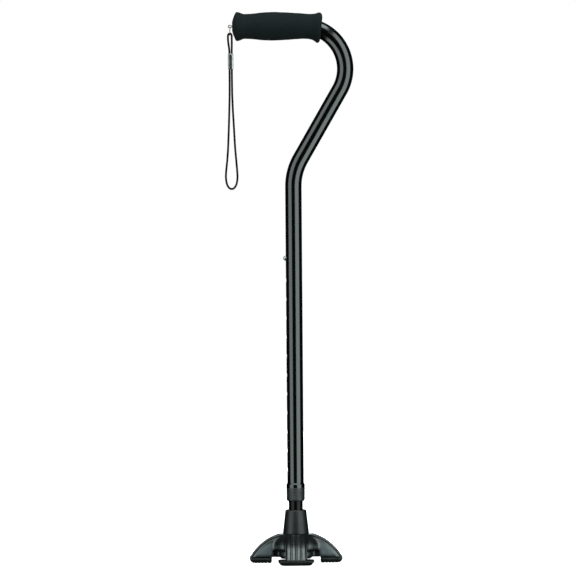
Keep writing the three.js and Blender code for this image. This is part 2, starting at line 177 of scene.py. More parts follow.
def outward(obj):
    edit(obj, "SELECT")
    bpy.ops.mesh.remove_doubles(threshold=1e-6)
    bpy.ops.mesh.normals_make_consistent(inside=False)
    leave_edit()
    return obj


def smooth(obj, angle=35):
    only(obj)
    bpy.ops.object.shade_smooth_by_angle(angle=radians(angle))
    return obj


# %% [markdown]
# Most of the cane's small pieces are round. A round piece is grown as on a potter's wheel: a circle
# is added, and its rim is extruded and scaled to each radius and height of the profile in turn.
# A profile that starts and ends at the same place closes into a ring with a bore.

# %% Round pieces
def ring_to(radius_from, radius_to, step):
    bpy.ops.mesh.extrude_region_move(TRANSFORM_OT_translate={"value": (0, 0, step)})
    scale = radius_to / radius_from
    bpy.ops.transform.resize(value=(scale, scale, 1), center_override=(0, 0, 0))


def turned(name, profile, segments=96):
    radius, height = profile[0]
    bpy.ops.object.select_all(action="DESELECT")
    bpy.ops.mesh.primitive_circle_add(vertices=segments, radius=radius, location=(0, 0, 0))
    obj = bpy.context.object
    obj.name = name
    edit(obj, "SELECT")
    bpy.ops.transform.translate(value=(0, 0, height))
    closed = profile[0] == profile[-1]
    if not closed:
        bpy.ops.mesh.edge_face_add()
        bpy.ops.mesh.select_mode(type="EDGE")
    for next_radius, next_height in profile[1:]:
        if not closed and (radius, height) == profile[0]:
            bpy.ops.mesh.select_mode(type="FACE")
        ring_to(radius, next_radius, next_height - height)
        radius, height = next_radius, next_height
    leave_edit()
    return outward(obj)


def lay_along_x(obj):
    obj.rotation_euler = (0, pi / 2, 0)
    return settle(obj)


def move(obj, x=0, y=0, z=0):
    obj.location = (x, y, z)
    return settle(obj)


# %% [markdown]
# ## The strap's cord
# The cords come before the other pieces, because their routes are shared with the CAD model. The
# cord is braided: sixteen strands cross over and under each other. A braid this fine still catches
# the light, so the tube's surface is raised and lowered where strands pass over and under. The
# tube's UV map counts turns around the cord and metres along it, for the material to follow.

# %% Cord routes, in metres
TETHER_ROUTE = [
    (-0.08105, 0, 0.6794), (-0.08105, 0, 0.6839), (-0.0810, 0, 0.6874), (-0.0809, 0, 0.6914),
    (-0.08085, 0, 0.6954), (-0.08085, 0, 0.6994), (-0.0809, 0, 0.7029), (-0.08095, 0, 0.7056),
    (-0.0816, 0, 0.7073), (-0.0825, 0, 0.70815), (-0.0834, 0, 0.7084), (-0.0843, 0, 0.70815),
    (-0.0852, 0, 0.7073), (-0.08585, 0, 0.7056), (-0.0859, 0, 0.7029), (-0.0858, 0, 0.6994),
    (-0.08545, 0, 0.6954), (-0.0849, 0, 0.6914), (-0.0844, 0, 0.6874), (-0.08415, 0, 0.6839),
    (-0.08415, 0, 0.6794),
]
WRIST_ROUTE = [
    (-0.08105, 0, 0.6624), (-0.08105, 0, 0.6534), (-0.0810, 0, 0.6454), (-0.08095, 0, 0.6364),
    (-0.08085, 0, 0.6264), (-0.0805, 0.0003, 0.6164), (-0.0801, 0.0006, 0.6054),
    (-0.0794, 0.0009, 0.5924), (-0.0784, 0.0012, 0.5724), (-0.0775, 0.0014, 0.5554),
    (-0.0762, 0.0015, 0.5394), (-0.0750, 0.0014, 0.5244), (-0.0747, 0.0011, 0.5159),
    (-0.0758, 0.0007, 0.5079), (-0.0786, 0.0003, 0.5024), (-0.0824, 0, 0.5006),
    (-0.0862, -0.0003, 0.5024), (-0.0890, -0.0007, 0.5079), (-0.0901, -0.0011, 0.5159),
    (-0.0897, -0.0014, 0.5244), (-0.0881, -0.0015, 0.5394), (-0.0869, -0.0014, 0.5554),
    (-0.0861, -0.0012, 0.5724), (-0.0853, -0.0009, 0.5924), (-0.0849, -0.0006, 0.6054),
    (-0.08455, -0.0003, 0.6164), (-0.0843, 0, 0.6264), (-0.0842, 0, 0.6364),
    (-0.08415, 0, 0.6454), (-0.08415, 0, 0.6534), (-0.08415, 0, 0.6624),
]
CORD_R = 1.4 * MM
CORD_SIDES = 32
CORD_STEP = 0.28 * MM
STRANDS = 8
BRAID_PITCH = 5.6 * MM
BRAID_RELIEF = 0.09 * MM


# %% A smooth line through the route's points
def smooth_line(route, step):
    points = [Vector(p) for p in route]
    points = [2 * points[0] - points[1], *points, 2 * points[-1] - points[-2]]
    line = []
    for a, b, c, d in zip(points, points[1:], points[2:], points[3:]):
        count = max(2, round((c - b).length / step))
        for i in range(count):
            t = i / count
            bend = (c - a) * t + (2 * a - 5 * b + 4 * c - d) * t ** 2 + (3 * b - a - 3 * c + d) * t ** 3
            line.append(b + bend / 2)
    line.append(points[-2])
    return line


def braid_height(around, along):
    """Height of a braided cord's surface, from 0 to 1, at a turn around and metres along."""
    rise = along / BRAID_PITCH
    left = sin(pi * (around * STRANDS + rise * STRANDS))
    right = sin(pi * (around * STRANDS - rise * STRANDS))
    over = max(abs(left) if left * right > 0 else 0, abs(right) if left * right <= 0 else 0)
    return over


# %% The braided tube
def braided_cord(name, route):
    line = smooth_line(route, CORD_STEP)
    mesh = bmesh.new()
    uv = mesh.loops.layers.uv.new("cord")
    side = Vector((0, 1, 0))
    travelled = 0
    rings = []
    lengths = []
    for i, point in enumerate(line):
        ahead = line[min(i + 1, len(line) - 1)]
        behind = line[max(i - 1, 0)]
        along = (ahead - behind).normalized()
        side = (side - along * side.dot(along)).normalized()
        across = along.cross(side)
        travelled += (point - behind).length if i else 0
        ring = []
        for j in range(CORD_SIDES):
            angle = 2 * pi * j / CORD_SIDES
            radius = CORD_R - BRAID_RELIEF * (1 - braid_height(j / CORD_SIDES, travelled))
            ring.append(mesh.verts.new(point + radius * (side * cos(angle) + across * sin(angle))))
        rings.append(ring)
        lengths.append(travelled)
    for i in range(len(rings) - 1):
        for j in range(CORD_SIDES):
            k = (j + 1) % CORD_SIDES
            face = mesh.faces.new((rings[i][j], rings[i][k], rings[i + 1][k], rings[i + 1][j]))
            corners = ((j, i), (j + 1, i), (j + 1, i + 1), (j, i + 1))
            for loop, (turn_index, step_index) in zip(face.loops, corners):
                loop[uv].uv = (turn_index / CORD_SIDES, lengths[step_index])
            face.smooth = True
    mesh.faces.new(rings[0][::-1])
    mesh.faces.new(rings[-1])
    bmesh.ops.recalc_face_normals(mesh, faces=mesh.faces)
    data = bpy.data.meshes.new(name)
    mesh.to_mesh(data)
    mesh.free()
    obj = bpy.data.objects.new(name, data)
    bpy.context.scene.collection.objects.link(obj)
    return obj, line, travelled


tether, tether_line, tether_length = braided_cord("tether_cord", TETHER_ROUTE)
wrist, wrist_line, wrist_length = braided_cord("wrist_cord", WRIST_ROUTE)
print("tether", round(tether_length, 4), "m, wrist loop", round(wrist_length, 4), "m")

# %% [markdown]
# ## The handle tube
# One aluminium tube makes the shaft, the slanted stretch and the handle. It is bent on a tube
# bender, which lays each bend on a circle, so it is made the same way here: the rim of a circle is
# extruded for each straight stretch and spun about each bend's centre. Its lower end is flared
# over the collar's plastic bush.

# %% Tube by extruding and spinning
TUBE_SEGMENTS = 96
BELL_R = tube_high.y
BELL_TOP_Z = 103.8 * MM
BELL_FLARE_Z = 106 * MM
reach = tube_high.x - OUTER_TUBE_R
bend_x = reach - UPPER_BEND_R
bend_z = HANDLE_Z - UPPER_BEND_R
slant_x = bend_x + UPPER_BEND_R * cos(SLANT)
slant_z = bend_z - UPPER_BEND_R * sin(SLANT)
knee_z = slant_z - slant_x / tan(SLANT) - KNEE_R * tan(SLANT / 2)
slant_length = slant_x / sin(SLANT) - KNEE_R * tan(SLANT / 2)


def push(obj, value):
    bpy.ops.mesh.extrude_edges_move(TRANSFORM_OT_translate={"value": value})


def bent_tube(name, radius, bottom, end_x):
    bpy.ops.object.select_all(action="DESELECT")
    bpy.ops.mesh.primitive_circle_add(vertices=TUBE_SEGMENTS, radius=radius, location=(0, 0, 0))
    obj = bpy.context.object
    obj.name = name
    edit(obj, "SELECT")
    bpy.ops.mesh.select_mode(type="EDGE")
    bpy.ops.transform.translate(value=(0, 0, bottom))
    push(obj, (0, 0, knee_z - bottom))
    bpy.ops.mesh.spin(steps=14, angle=-SLANT, center=(KNEE_R, 0, knee_z), axis=(0, 1, 0))
    push(obj, (slant_length * sin(SLANT), 0, slant_length * cos(SLANT)))
    bpy.ops.mesh.spin(steps=44, angle=pi / 2 + SLANT, center=(bend_x, 0, bend_z), axis=(0, 1, 0))
    push(obj, (end_x - bend_x, 0, 0))
    leave_edit()
    return outward(obj)


def close_ends(obj):
    edit(obj, "SELECT")
    bpy.ops.mesh.select_mode(type="EDGE")
    bpy.ops.mesh.select_all(action="DESELECT")
    bpy.ops.mesh.select_non_manifold()
    bpy.ops.mesh.fill_holes(sides=0)
    bpy.ops.mesh.normals_make_consistent(inside=False)
    leave_edit()
    return obj


# The outside is a solid bar with a solid flare, and a thinner bar is cut out of it.
tube_piece = close_ends(bent_tube("tube_black_handle", OUTER_TUBE_R, BELL_TOP_Z, tube_low.x))
bell = turned("bell", [
    (BELL_R, tube_low.z), (BELL_R, BELL_TOP_Z), (BELL_R - 0.25 * MM, BELL_TOP_Z + 0.7 * MM),
    (OUTER_TUBE_R + 0.25 * MM, BELL_FLARE_Z - 0.6 * MM), (OUTER_TUBE_R - 0.01 * MM, BELL_FLARE_Z),
    (OUTER_TUBE_R - 1 * MM, BELL_FLARE_Z)], TUBE_SEGMENTS)
cut(tube_piece, bell, "UNION")
bore = close_ends(bent_tube("bore", OUTER_TUBE_R - TUBE_WALL, BELL_TOP_Z, tube_low.x - 1 * MM))
cut(tube_piece, bore)
bell_bore = turned("bell_bore", [(BELL_R - TUBE_WALL, tube_low.z - 1 * MM), (BELL_R - TUBE_WALL, BELL_TOP_Z),
                                 (OUTER_TUBE_R - TUBE_WALL - 0.01 * MM, BELL_FLARE_Z)], TUBE_SEGMENTS)
cut(tube_piece, bell_bore)

# %% [markdown]
# The setting holes are punched through one wall, on the side the grip points to. One drill is
# modelled and copied to each hole's height, and all of them are cut at once.

# %% Setting holes
hole_heights = [BUTTON_Z] + [LOWEST_HOLE_Z + i * HOLE_PITCH for i in range(HOLES_BELOW)]


def drill(name, radius, height):
    made = lay_along_x(turned(name, [(radius, -16 * MM), (radius, -5 * MM)], 40))
    return move(made, z=height)


drills = join([drill("drill", HOLE_R, height) for height in hole_heights], "drills")
cut(tube_piece, drills)
outward(tube_piece)
smooth(tube_piece, 40)
print("handle tube:", len(tube_piece.data.polygons), "faces,", len(hole_heights), "holes")

# %% [markdown]
# ## The lower tube
# A thinner tube stands in the rubber tip and slides inside the handle tube. Only a short length
# shows at the shortest setting, but all of it is made, because it comes out as the cane is raised.

# %% Lower tube
tube_bore_r = LOWER_TUBE_R - TUBE_WALL
lower_piece = turned("tube_black_lower", [
    (tube_bore_r, lower_low.z), (LOWER_TUBE_R, lower_low.z), (LOWER_TUBE_R, lower_high.z),
    (tube_bore_r, lower_high.z), (tube_bore_r, lower_low.z)], TUBE_SEGMENTS)
cut(lower_piece, drill("button_drill", HOLE_R, BUTTON_Z))
smooth(lower_piece, 40)

# %% [markdown]
# ## The snap button
# The button is a turned pin with a domed nose and a flange that stops it inside the lower tube. It
# is made standing up, as a round piece, and then laid along X.

# %% Snap button
PIN_R = button_high.z - BUTTON_Z
nose = button_low.x
pin_r = HOLE_R - 0.3 * MM
dome_start = nose + 3.1 * MM
dome = [(pin_r * sin(a), nose + (dome_start - nose) * (1 - cos(a))) for a in
        [radians(x) for x in (8, 18, 28, 38, 48, 58, 68, 78, 90)]]
flange = -6.5 * MM
button_piece = turned("snap_button_pin", [
    *dome, (pin_r, flange), (PIN_R - 0.2 * MM, flange), (PIN_R, flange + 0.2 * MM),
    (PIN_R, button_high.x - 0.2 * MM), (PIN_R - 0.2 * MM, button_high.x)], 48)
button_piece = smooth(move(lay_along_x(button_piece), z=BUTTON_Z))

# %% [markdown]
# ## The lock ring
# The ring screws up on to the plastic bush and squeezes it on the lower tube, which stops rattle.
# Fine ridges give the fingers a hold, and they are part of the profile that is turned.

# %% Lock ring
RIDGES = 12
RING_R = collar_high.y
valley = RING_R - 0.35 * MM
ridge_start = collar_low.z + 2.6 * MM
ridge_pitch = 1.08 * MM
mouth = LOWER_TUBE_R + 0.4 * MM
thread_r = BELL_R - TUBE_WALL
ring_profile = [(mouth + 0.3 * MM, collar_low.z), (valley - 1.6 * MM, collar_low.z),
                (valley - 0.9 * MM, collar_low.z + 0.3 * MM), (valley, collar_low.z + 1.9 * MM)]
for i in range(RIDGES):
    z = ridge_start + i * ridge_pitch
    ring_profile += [(valley, z), (RING_R - 0.08 * MM, z + 0.22 * MM), (RING_R, z + 0.36 * MM),
                     (RING_R, z + 0.54 * MM), (RING_R - 0.08 * MM, z + 0.68 * MM), (valley, z + 0.9 * MM)]
ring_profile += [(valley, collar_high.z - 1.7 * MM), (RING_R - 0.1 * MM, collar_high.z - 1.5 * MM),
                 (RING_R, collar_high.z - 1.2 * MM), (RING_R, collar_high.z - 0.4 * MM),
                 (RING_R - 0.3 * MM, collar_high.z), (thread_r, collar_high.z),
                 (thread_r, collar_low.z + 7.6 * MM), (mouth, collar_low.z + 2.6 * MM),
                 (mouth, collar_low.z + 0.3 * MM), (mouth + 0.3 * MM, collar_low.z)]
ring_piece = smooth(turned("ridged_lock_ring", ring_profile, 128), 50)

# %% [markdown]
# ## The tip's cone
# The cone is soft rubber, moulded with a rounded rim. It grips the lower tube, and a spigot below
# it goes into the base. The rim's roundness is a few profile points on a quarter circle.

# %% Cone
spigot_r = 14 * MM
cone_foot_r = sleeve_high.y
cone_rim_r = 14.2 * MM
cone_foot_z = 37.6 * MM
socket_r = LOWER_TUBE_R + 0.3 * MM
rim_round = 1.7 * MM
rim = [(cone_rim_r - rim_round + rim_round * cos(a), sleeve_high.z - rim_round + rim_round * sin(a))
       for a in [radians(x) for x in (8, 22, 36, 50, 64, 78, 90)]]
lip = [(socket_r + 0.5 * MM - 0.5 * MM * sin(a), sleeve_high.z - 0.5 * MM + 0.5 * MM * cos(a))
       for a in [radians(x) for x in (0, 30, 60, 90)]]
socket_floor = 18.4 * MM
cone_piece = smooth(turned("rubber_cone", [
    (spigot_r - 1 * MM, sleeve_low.z), (spigot_r, sleeve_low.z + 1 * MM), (spigot_r, cone_foot_z),
    (cone_foot_r - 0.6 * MM, cone_foot_z), (cone_foot_r - 0.15 * MM, cone_foot_z + 0.2 * MM),
    (cone_foot_r, cone_foot_z + 0.7 * MM), *rim, *lip, (socket_r, socket_floor),
    (1 * MM, socket_floor), (1 * MM, sleeve_low.z), (spigot_r - 1 * MM, sleeve_low.z)], 96), 40)
print("round pieces made")

# %% [markdown]
# ## The foam grip
# The grip is one moulded sleeve of soft foam, pulled over the tube. It is thick at both ends, slim
# beside them and full in the palm, and its right end leans and sags where the tube bends out of
# it. Its outline is turned as a round piece, laid along the handle, and leaned at the right end.
# Then the tube's own path is cut through it. Foam has a skin full of tiny cells: a displacement
# moves the surface by about a tenth of a millimetre, so that the outline is slightly uneven too.

# %% Grip outline
GRIP_OUTLINE = [
    (-80.3, 6), (-79, 10.5), (-77.3, 15), (-75.6, 18.4), (-73.9, 19.4), (-70.6, 18.8), (-66, 17),
    (-61.9, 16.6), (-52, 17.2), (-40, 18.5), (-27, 19.05), (-12, 18.6), (4, 17.6), (18.3, 16.8),
    (26, 17.2), (30.5, 18.4), (33.6, 20), (36, 20.2), (37.9, 18.6), (38.7, 16.4),
]
GRIP_SIDES = 224
GRIP_RING_STEP = 0.62 * MM
LEAN_START = 8 * MM
LEAN_LENGTH = 30.7 * MM
LEAN = tan(radians(6.3))
SAG = 3 * MM
BORE_START_X = -74 * MM
FOAM_RELIEF = 0.16 * MM

outline = [(0.0, 0.0, 0.0)] + [(x * MM, 0.0, r * MM) for x, r in GRIP_OUTLINE]
curve = smooth_line(outline[1:], GRIP_RING_STEP)
grip_profile = [(2 * MM, grip_low.x + 0.4 * MM), (4 * MM, grip_low.x + 0.1 * MM)]
grip_profile += [(p.z, p.x) for p in curve]
grip_profile += [(14.6 * MM, 39.0 * MM), (12.8 * MM, 39.0 * MM), (11 * MM, 38.9 * MM), (6 * MM, 38.9 * MM)]
grip_piece = move(lay_along_x(turned("foam_grip_sleeve", grip_profile, GRIP_SIDES)), z=HANDLE_Z)


# %% The leaning right end
def lean_right_end(obj):
    for vertex in obj.data.vertices:
        share = max(0.0, (vertex.co.x - LEAN_START) / LEAN_LENGTH) ** 2
        vertex.co.x += share * (vertex.co.z - HANDLE_Z) * LEAN
        vertex.co.z -= share * SAG
    return obj


def relief(obj, size, strength, kind="CLOUDS", depth=2):
    texture = bpy.data.textures.new(obj.name + "_relief", kind)
    texture.noise_scale = size
    if kind == "CLOUDS":
        texture.noise_depth = depth
    return modifier(obj, "DISPLACE", texture=texture, strength=strength, mid_level=0.5,
                    texture_coords="LOCAL")


lean_right_end(grip_piece)
relief(grip_piece, 1.3 * MM, FOAM_RELIEF)
relief(grip_piece, 9 * MM, 2 * FOAM_RELIEF, depth=1)
grip_bore = close_ends(bent_tube("grip_bore", OUTER_TUBE_R + 0.05 * MM, 600 * MM, BORE_START_X - 2 * MM))
cut(grip_piece, grip_bore)
smooth(grip_piece, 60)
print("grip:", len(grip_piece.data.polygons), "faces")

# %% [markdown]
# ## The strap's metal fittings
# A wire eye is screwed into the handle's plug, a wire ring hangs in the eye, and a crimped ferrule
# holds both cords. Wire is bent by spinning its round section about the bend's centre. The two
# ends of a bent wire never quite meet, and that narrow gap is left open here as well.

# %% Wire ring and eye
WIRE_R = 0.65 * MM
WIRE_SIDES = 24
EYE_X = (wire_low.x + wire_high.x) / 2
EYE_R = 2.05 * MM
STRAP_RING_R = (wire_high.z - wire_low.z) / 2 - WIRE_R
STRAP_RING_Z = (wire_high.z + wire_low.z) / 2
SHANK_R = 1.3 * MM


def wire_loop(name, radius, centre, degrees, lean_x):
    bpy.ops.object.select_all(action="DESELECT")
    bpy.ops.mesh.primitive_circle_add(vertices=WIRE_SIDES, radius=WIRE_R, location=(0, 0, 0))
    obj = bpy.context.object
    obj.name = name
    edit(obj, "SELECT")
    bpy.ops.mesh.select_mode(type="EDGE")
    side = Vector((radius, 0, 0)) if lean_x else Vector((0, radius, 0))
    bpy.ops.transform.translate(value=side)
    bpy.ops.mesh.spin(steps=72, angle=radians(degrees), center=(0, 0, 0),
                      axis=(0, 1, 0) if lean_x else (1, 0, 0))
    leave_edit()
    close_ends(outward(obj))
    return smooth(move(obj, *centre), 40)


ring_wire = wire_loop("strap_wire_ring", STRAP_RING_R, (EYE_X, 0, STRAP_RING_Z), 354, False)
eye_wire = wire_loop("strap_eye", EYE_R, (EYE_X, 0, HANDLE_Z), 345, True)

# %% Screw shank with its thread
shank_end = -62 * MM
shank_start = EYE_X + EYE_R - 0.2 * MM
THREAD_PITCH = 0.9 * MM
THREAD_START = -79 * MM
shank_profile = [(0.5 * MM, shank_start), (0.75 * MM, shank_start + 0.3 * MM),
                 (SHANK_R, shank_start + 1.2 * MM), (SHANK_R, THREAD_START)]
turns = int((shank_end - THREAD_START) / THREAD_PITCH) - 1
for i in range(turns):
    x = THREAD_START + i * THREAD_PITCH
    shank_profile += [(SHANK_R - 0.35 * MM, x + 0.3 * MM), (SHANK_R, x + 0.6 * MM), (SHANK_R, x + 0.75 * MM)]
shank_profile += [(0.2 * MM, shank_end)]
shank = move(lay_along_x(turned("shank", shank_profile, 24)), z=HANDLE_Z)
eye_screw = smooth(cut(eye_wire, shank, "UNION"), 40)
eye_screw.name = "strap_eye_and_screw"

# %% Crimped ferrule
ferrule_r = (ferrule_high.y - ferrule_low.y) / 2
ferrule_flat = (ferrule_high.x - ferrule_low.x) / 2 - ferrule_r
ferrule_x = (ferrule_high.x + ferrule_low.x) / 2
FERRULE_WALL = 0.7 * MM
CRIMP_DEPTH = 0.25 * MM
CRIMP_LENGTH = 1.7 * MM
CRIMP_WIDTH = 2.2 * MM
bottom, top = ferrule_low.z, ferrule_high.z
steps = 24
walls = [bottom + 0.3 * MM + (top - bottom - 0.6 * MM) * i / steps for i in range(steps + 1)]
ferrule_profile = [(ferrule_r - FERRULE_WALL, bottom + 0.2 * MM), (ferrule_r - 0.5 * MM, bottom),
                   (ferrule_r - 0.25 * MM, bottom), *[(ferrule_r, z) for z in walls],
                   (ferrule_r - 0.25 * MM, top), (ferrule_r - 0.5 * MM, top),
                   (ferrule_r - FERRULE_WALL, top - 0.2 * MM), (ferrule_r - FERRULE_WALL, bottom + 0.2 * MM)]
ferrule_piece = turned("crimped_ferrule", ferrule_profile, 64)
for vertex in ferrule_piece.data.vertices:
    across = max(-1.0, min(1.0, vertex.co.x / ferrule_r * 3))
    vertex.co.x += ferrule_flat * across + ferrule_x
    if abs(vertex.co.y) > ferrule_r - FERRULE_WALL:
        for crimp in (bottom + 0.3 * (top - bottom), bottom + 0.7 * (top - bottom)):
            along = (vertex.co.z - crimp) / CRIMP_LENGTH
            sideways = (vertex.co.x - ferrule_x) / CRIMP_WIDTH
            nearness = along ** 2 + sideways ** 2
            vertex.co.y *= 1 - CRIMP_DEPTH / ferrule_r * 2.718 ** -nearness
smooth(ferrule_piece, 45)
print("ring, eye screw and ferrule made")

# %% [markdown]
# ## The base
# The base is one rubber moulding: a hub with four lobes, each carried down and out to a foot. From
# the side a lobe is a piece of arc above an open arch, and its long edges are rounded rims. So a
# pair of opposite lobes is drawn as eight side views, one behind the other, which are bridged.
# The hub between the lobes is a bell turned about the shaft, and under each arch a web joins the
# lobe's foot to the core. One voxel remesh fuses the lot, and smoothing rounds the edges.

# %% Lobes
CREST_R = 67.7 * MM
CREST_X = 3 * MM
CREST_Z = -27.2 * MM
RIB_HEIGHT = 1.5 * MM
RIB_WIDTH = 2.3 * MM
RIB_PITCH = 6.5 * MM
SURFACE_R = CREST_R - RIB_HEIGHT
LOBE_RIM = [(14.5, 6.2), (13.9, 2.8), (13.0, 0.9), (11.6, 0)]
FOOT_Z = 6.7 * MM
PAD_INNER = 32.5 * MM
PAD_OUTER = pad_high.x
ARCH_Z = 16.4 * MM
SKIRT_Z = 7 * MM
BASE_TOP = cone_foot_z - 0.3 * MM


def arc_height(x, radius):
    return CREST_Z + sqrt(radius ** 2 - (x - CREST_X) ** 2)


def lobe_side_view(radius):
    edge = CREST_X + sqrt(radius ** 2 - (FOOT_Z - CREST_Z) ** 2)
    steps = 40
    crest = [(x, arc_height(x, radius)) for x in [edge * i / steps for i in range(steps + 1)]]
    arch = [(PAD_INNER + 0.6 * MM, FOOT_Z), (PAD_INNER + 0.2 * MM, ARCH_Z - 5 * MM),
            (PAD_INNER - 0.6 * MM, ARCH_Z - 2.4 * MM), (PAD_INNER - 2.4 * MM, ARCH_Z - 0.6 * MM),
            (PAD_INNER - 5 * MM, ARCH_Z), (12 * MM, ARCH_Z)]
    half = crest + arch
    return half + [(-x, z) for x, z in reversed(half[1:])]


def from_points(name, points, edges=(), faces=()):
    mesh = bpy.data.meshes.new(name)
    mesh.from_pydata(points, edges, faces)
    obj = bpy.data.objects.new(name, mesh)
    bpy.context.scene.collection.objects.link(obj)
    edit(obj, "SELECT")
    return obj


def lobe_pair():
    rim = [(y * MM, SURFACE_R - drop * MM) for y, drop in LOBE_RIM]
    views = [(-y, radius) for y, radius in rim] + rim[::-1]
    points = []
    edges = []
    for y, radius in views:
        view = lobe_side_view(radius)
        start = len(points)
        points += [(x, y, z) for x, z in view]
        edges += [(start + i, start + (i + 1) % len(view)) for i in range(len(view))]
    obj = from_points("lobes", points, edges)
    bpy.ops.mesh.select_mode(type="EDGE")
    bpy.ops.mesh.bridge_edge_loops()
    leave_edit()
    return close_ends(outward(obj))


def quarter_turn(obj, quarters=1):
    obj.rotation_euler = (0, 0, quarters * pi / 2)
    return settle(obj)


lobes = lobe_pair()
cross_lobes = quarter_turn(copy_of(lobes, "cross_lobes"))
print("lobes bridged:", len(lobes.data.polygons), "faces a pair")

# %% Hub, core and webs
WEB_HALF_WIDTH = 10.5 * MM
HUB_PROFILE = [
    (18.5, 9.4), (19.6, 7.8), (20.4, 7), (24, 7), (25.5, 8.5), (25.5, 15.6), (30, 15.6), (31.6, 16.6),
    (33, 19), (33.5, 22), (32.6, 26), (30.4, 29.4), (27, 32.4), (23.4, 35.2), (20.3, 39),
]


def web(name):
    size = (2 * (PAD_INNER + 4 * MM), 2 * WEB_HALF_WIDTH, ARCH_Z + 2 * MM - SKIRT_Z)
    bpy.ops.object.select_all(action="DESELECT")
    bpy.ops.mesh.primitive_cube_add(size=1, location=(0, 0, SKIRT_Z + size[2] / 2))
    obj = bpy.context.object
    obj.name = name
    obj.scale = size
    return settle(obj)


hub = turned("hub", [(r * MM, z * MM) for r, z in HUB_PROFILE], 96)
webs = [web("web"), quarter_turn(web("cross_web"))]
base_piece = join([hub, *webs, lobes, cross_lobes], "ribbed_base")


BODY_VOXEL = 0.9 * MM
RIB_VOXEL = 0.62 * MM
HUB_ROUNDS = 60
HUB_FADE_START = 33 * MM
HUB_FADE_END = 42 * MM
HUB_FADE_RISE = 5 * MM


def remesh(obj, voxel):
    obj.data.remesh_voxel_size = voxel
    only(obj)
    bpy.ops.object.voxel_remesh()
    return obj


def relax(obj, rounds, factor=0.5):
    return modifier(obj, "SMOOTH", iterations=rounds, factor=factor)


def soften_valleys(obj, rounds):
    """Smooths the hub alone: the share fades out between two distances from the shaft."""
    group = obj.vertex_groups.new(name="hub")
    for vertex in obj.data.vertices:
        out = (vertex.co.xy.length - HUB_FADE_START) / (HUB_FADE_END - HUB_FADE_START)
        rise = (vertex.co.z - ARCH_Z) / HUB_FADE_RISE
        group.add([vertex.index], max(0.0, min(1.0, 1 - out)) * max(0.0, min(1.0, rise)), "REPLACE")
    modifier(obj, "SMOOTH", iterations=rounds, factor=0.5, vertex_group="hub")
    obj.vertex_groups.clear()


remesh(base_piece, BODY_VOXEL)
soften_valleys(base_piece, HUB_ROUNDS)
relax(base_piece, 6)

# %% [markdown]
# Three ribs run down each lobe. A rib is a small section spun about the centre of the lobe's arc,
# copied for its neighbours and for the other lobes, and fused by a second, finer remesh, which
# softens its edges a little.

# %% Ribs
RIB_START_X = 15 * MM
RIB_END_X = 61.2 * MM
rib_from = asin((RIB_START_X - CREST_X) / CREST_R)
rib_to = asin((RIB_END_X - CREST_X) / CREST_R)
rib_half = RIB_WIDTH / 2
rib_section = [(-rib_half, -4 * MM), (-rib_half, -1.1 * MM), (-0.85 * rib_half, -0.5 * MM),
               (-0.5 * rib_half, -0.12 * MM), (0, 0), (0.5 * rib_half, -0.12 * MM),
               (0.85 * rib_half, -0.5 * MM), (rib_half, -1.1 * MM), (rib_half, -4 * MM)]


def rib(name, y):
    points = []
    for across, depth in rib_section:
        radius = CREST_R + depth
        points.append((CREST_X + radius * sin(rib_from), y + across, CREST_Z + radius * cos(rib_from)))
    obj = from_points(name, points, faces=[tuple(range(len(points)))])
    bpy.ops.mesh.select_mode(type="FACE")
    bpy.ops.mesh.select_all(action="SELECT")
    bpy.ops.mesh.spin(steps=48, angle=-(rib_to - rib_from), center=(CREST_X, 0, CREST_Z), axis=(0, 1, 0))
    leave_edit()
    return outward(obj)


ribs = []
for quarters in range(4):
    for y in (-RIB_PITCH, 0, RIB_PITCH):
        ribs.append(quarter_turn(rib("rib", y), quarters))
join([base_piece, *ribs], "ribbed_base")
remesh(base_piece, RIB_VOXEL)
relax(base_piece, 2)
print("base fused:", len(base_piece.data.polygons), "faces")


# %% Flat top, flat feet and the cone's socket
def slice_flat(obj, height, keep_below):
    edit(obj, "SELECT")
    bpy.ops.mesh.bisect(plane_co=(0, 0, height), plane_no=(0, 0, 1), use_fill=True,
                        clear_outer=keep_below, clear_inner=not keep_below)
    leave_edit()
    return obj


PAD_GAP = 0.05 * MM
slice_flat(base_piece, BASE_TOP, True)
slice_flat(base_piece, pad_high.z + PAD_GAP, False)
socket_radius = spigot_r + 0.3 * MM
socket = turned("socket", [(socket_radius, sleeve_low.z - 0.3 * MM), (socket_radius, BASE_TOP + 5 * MM)], 64)
cut(base_piece, socket)
smooth(base_piece, 50)

# %% [markdown]
# ## The foot pads
# A pad of harder-wearing rubber lies under each lobe. Its lower edge is cut away at a slant, so
# that it doesn't catch on a step, and grooves underneath let water out. One pad is made from a
# plane with bevelled corners, and copied round.

# %% Pads
PAD_HALF_WIDTH = 23.8 * MM
PAD_PIVOT_X = PAD_INNER + 4.8 * MM
PAD_SHAPE = [
    (6.4, 0.6), (6.2, 0.15), (5.9, 0), (5.2, 0), (4.0, 0.5), (2.7, 1.5), (1.3, 2.9), (0.4, 3.9), (0, 4.7),
]
GROOVES = 5


def rounded_block(name, low, high, corner, height):
    """A flat face with rounded corners, from a plane whose corners are bevelled."""
    centre = [(a + b) / 2 for a, b in zip(low, high)]
    bpy.ops.object.select_all(action="DESELECT")
    bpy.ops.mesh.primitive_plane_add(size=1, location=(centre[0], centre[1], height))
    obj = bpy.context.object
    obj.name = name
    obj.scale = (high[0] - low[0], high[1] - low[1], 1)
    settle(obj)
    edit(obj, "SELECT")
    bpy.ops.mesh.bevel(offset=corner, offset_type="OFFSET", segments=8, affect="VERTICES")
    bpy.ops.mesh.select_mode(type="FACE")
    bpy.ops.mesh.select_all(action="SELECT")
    return obj


def pad_scale(inset):
    return 1 - inset / (PAD_OUTER - PAD_PIVOT_X) * MM, 1 - inset * MM / PAD_HALF_WIDTH


